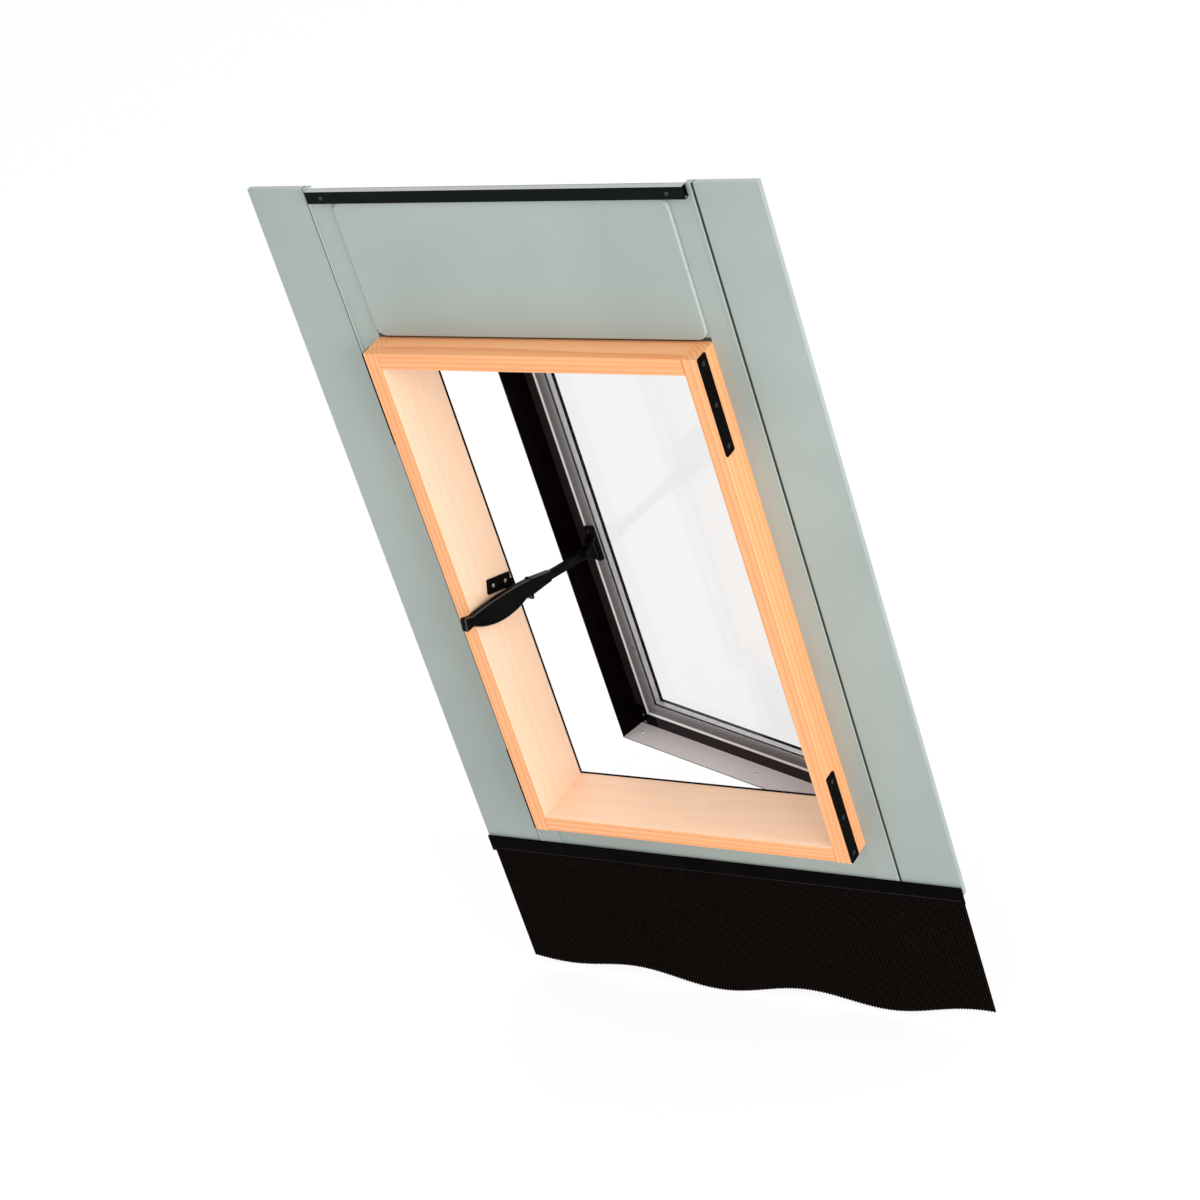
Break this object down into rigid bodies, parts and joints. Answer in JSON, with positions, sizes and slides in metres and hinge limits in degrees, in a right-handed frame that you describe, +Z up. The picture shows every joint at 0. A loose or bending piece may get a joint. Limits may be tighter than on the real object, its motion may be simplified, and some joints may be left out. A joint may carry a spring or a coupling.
{
  "type": "roof skylight",
  "caption": "Side-hung roof skylight with timber frame, metal flashing, pleated apron, glazed metal sash, mounting straps and a latching stay bar, seen from the room side.",
  "frame": {"origin": "centre of the timber frame on the plane of the flashing sheets' room face, which is the middle of the roof opening", "axes": "+X to the right seen from the room, +Y outward through the roof, +Z up the slope; the sash rests partly open"},
  "size_m": [0.814, 0.3305, 1.3827],
  "materials": {
    "pine": "planed softwood, clear satin coat",
    "rubber": "matt",
    "zinc_steel": "zinc plated",
    "dark_screw": "satin",
    "hinge_steel": "plated",
    "flashing": "coil-coated, satin",
    "bar_black": "matt",
    "binding": "woven, stitched",
    "pleats": "pleated, matt",
    "strap_black": "matt",
    "sash_dark": "satin",
    "bead_dark": "satin",
    "corner_black": "smooth",
    "spacer": "satin",
    "glass": "clear",
    "grip_black": "moulded",
    "stay_steel": "satin",
    "keeper_steel": "satin"
  },
  "bodies": {
    "frame": {"apron_binding": "binding", "apron_pleats": "pleats", "flashing_head_cover": "flashing", "flashing_head_sheet": "flashing", "flashing_left_sheet": "flashing", "flashing_left_strip": "flashing", "flashing_right_sheet": "flashing", "flashing_right_strip": "flashing", "flashing_sill_sheet": "flashing", "frame_head": "pine", "frame_left_jamb": "pine", "frame_right_jamb": "pine", "frame_screws": "zinc_steel", "frame_seal": "rubber", "frame_sill": "pine", "head_bar": "bar_black", "head_bar_screws": "dark_screw", "hinge_bottom_frame_leaf": "hinge_steel", "hinge_bottom_pin": "hinge_steel", "hinge_screws": "zinc_steel", "hinge_top_frame_leaf": "hinge_steel", "hinge_top_pin": "hinge_steel", "keeper_peg": "keeper_steel", "keeper_plate": "keeper_steel", "keeper_screws": "zinc_steel", "strap_left_bottom": "strap_black", "strap_left_top": "strap_black", "strap_right_bottom": "strap_black", "strap_right_top": "strap_black", "strap_screws": "zinc_steel"},
    "sash": {"bead_bottom": "bead_dark", "bead_left": "bead_dark", "bead_right": "bead_dark", "bead_top": "bead_dark", "corner_plate_bottom_left": "corner_black", "corner_plate_bottom_right": "corner_black", "corner_plate_screws": "dark_screw", "corner_plate_top_left": "corner_black", "corner_plate_top_right": "corner_black", "gasket_inner": "rubber", "gasket_outer": "rubber", "glass_inner_pane": "glass", "glass_outer_pane": "glass", "glass_spacer": "spacer", "hinge_bottom_sash_leaf": "hinge_steel", "hinge_rivets": "hinge_steel", "hinge_top_sash_leaf": "hinge_steel", "sash_bottom_rail": "sash_dark", "sash_left_stile": "sash_dark", "sash_right_stile": "sash_dark", "sash_top_rail": "sash_dark", "stay_bracket": "stay_steel", "stay_bracket_screws": "zinc_steel", "stay_swivel_pin": "stay_steel"},
    "stay_knuckle": {"stay_knuckle": "stay_steel", "stay_lift_pin": "stay_steel"},
    "stay_bar": {"stay_bar": "stay_steel", "stay_grip": "grip_black", "stay_grip_rivets": "stay_steel"}
  },
  "joints": [
    {"name": "sash_hinge", "type": "hinge", "parent": "frame", "child": "sash", "pos_m": [0.279, 0.0289, 0], "axis": [0, 0, -1], "range_deg": [-16.8, 63.2]},
    {"name": "stay_swivel", "type": "hinge", "parent": "sash", "child": "stay_knuckle", "pos_m": [-0.19923, 0.20149, -0.072], "axis": [0, 0, -1], "range_deg": [-41, 11]},
    {"name": "stay_lift", "type": "hinge", "parent": "stay_knuckle", "child": "stay_bar", "pos_m": [-0.20162, 0.18567, -0.072], "axis": [-0.9888, 0.1495, 0], "range_deg": [-8, 40]}
  ],
  "couplings": [
    {"joint": "stay_swivel", "follows": "sash_hinge", "ratio": -0.637}
  ]
}
